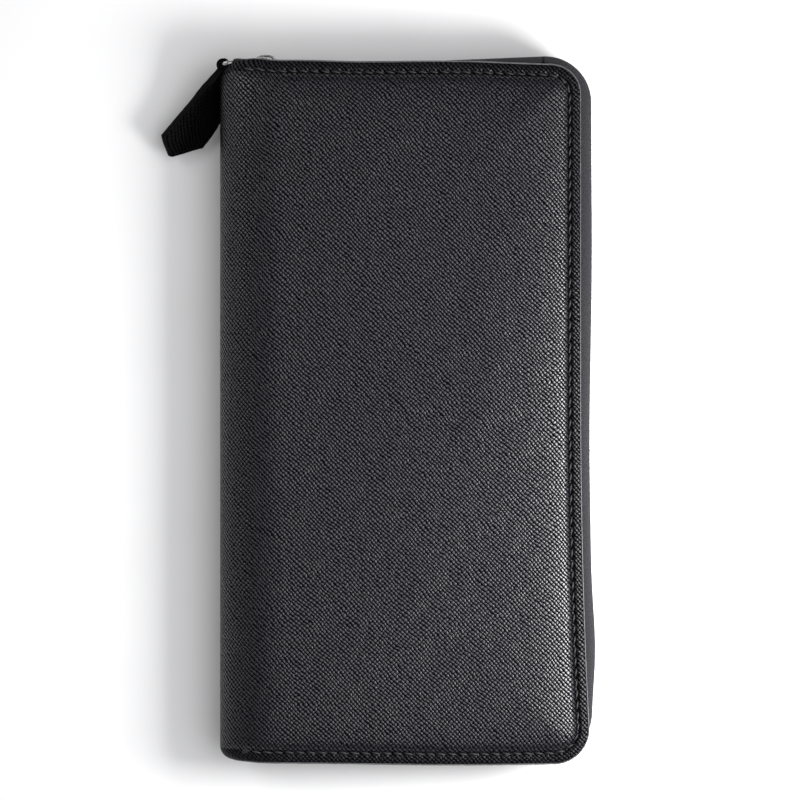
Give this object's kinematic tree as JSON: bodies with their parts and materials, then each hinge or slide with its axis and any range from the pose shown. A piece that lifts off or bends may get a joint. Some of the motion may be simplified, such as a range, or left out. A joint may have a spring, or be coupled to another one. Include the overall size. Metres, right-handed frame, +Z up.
{
  "type": "zip-round long wallet",
  "caption": "Long zip-round wallet in cross-hatched black leather with a metal slider and a leather pull, card pockets and a zipped coin divider inside.",
  "frame": {"origin": "on the surface the closed wallet lies on, below the middle of its back cover", "axes": "+Y along the spine towards the end where the zip closes, +X from the spine towards the long zipped side, +Z up through the front cover"},
  "size_m": [0.1188, 0.1963, 0.022],
  "materials": {
    "leather": "cross-hatched, satin",
    "inner_leather": "smooth satin",
    "lining": "woven, matt",
    "padding": "foam and board, matt",
    "zip_tape": "woven herringbone, matt",
    "zip_coil": "nylon coil",
    "metal": "polished nickel"
  },
  "bodies": {
    "back_cover": {"back_leather": "leather", "back_padding": "padding", "back_lining": "lining", "back_card_strip_1": "inner_leather", "back_card_strip_2": "inner_leather", "back_card_strip_3": "inner_leather", "back_card_strip_4": "inner_leather", "back_zip_tape": "zip_tape", "back_zip_coil": "zip_coil", "zip_end_stop": "zip_coil"},
    "divider": {"spine_leather": "leather", "spine_lining": "lining", "coin_wall_front": "lining", "coin_wall_back": "lining", "coin_pocket_seam": "lining", "coin_zip_tape_front": "zip_tape", "coin_zip_tape_back": "zip_tape", "coin_zip_coil_front": "zip_coil", "coin_zip_coil_back": "zip_coil", "gusset_front_top": "inner_leather", "gusset_front_foot": "inner_leather", "gusset_back_top": "inner_leather", "gusset_back_foot": "inner_leather"},
    "front_cover": {"front_leather": "leather", "front_padding": "padding", "front_lining": "lining", "front_card_strip_1": "inner_leather", "front_card_strip_2": "inner_leather", "front_card_strip_3": "inner_leather", "front_card_strip_4": "inner_leather", "front_zip_tape": "zip_tape", "front_zip_coil": "zip_coil"},
    "main_slider": {"slider": "metal"},
    "main_link": {"pull_link": "metal"},
    "leather_pull": {"pull_leather": "leather"},
    "coin_zip_slider": {"coin_slider": "metal"},
    "coin_zip_pull": {"coin_pull": "metal"}
  },
  "joints": [
    {"name": "back_fold", "type": "hinge", "parent": "back_cover", "child": "divider", "pos_m": [-0.0405, 0, 0], "axis": [0, -1, 0], "range_deg": [0, 20], "deforming": ["gusset_back_top", "gusset_back_foot", "back_zip_tape", "back_zip_coil"]},
    {"name": "front_fold", "type": "hinge", "parent": "divider", "child": "front_cover", "pos_m": [-0.0405, 0, 0.022], "axis": [0, -1, 0], "range_deg": [0, 20], "deforming": ["gusset_front_top", "gusset_front_foot", "front_zip_tape", "front_zip_coil"]},
    {"name": "zip_slide", "type": "slide", "parent": "divider", "child": "main_slider", "axis": [0.9991, 0.0419, 0], "range_m": [0, 0.07], "deforming": ["pull_leather"]},
    {"name": "link_swing", "type": "hinge", "parent": "main_slider", "child": "main_link", "pos_m": [-0.03884, 0.09745, 0.011], "axis": [0, 0, -1], "range_deg": [0, 160]},
    {"name": "leather_swing", "type": "hinge", "parent": "main_link", "child": "leather_pull", "pos_m": [-0.05026, 0.09606, 0.011], "axis": [0, 0, -1], "range_deg": [0, 110]},
    {"name": "coin_slide", "type": "slide", "parent": "divider", "child": "coin_zip_slider", "axis": [0, -1, 0], "range_m": [0, 0.135], "deforming": ["coin_zip_coil_front", "coin_zip_coil_back"]},
    {"name": "coin_pull_swing", "type": "hinge", "parent": "coin_zip_slider", "child": "coin_zip_pull", "pos_m": [0.04081, 0.066, 0.011], "axis": [0, 0, -1], "range_deg": [0, 160]}
  ],
  "couplings": [
    {"joint": "front_fold", "follows": "back_fold", "ratio": 1}
  ]
}
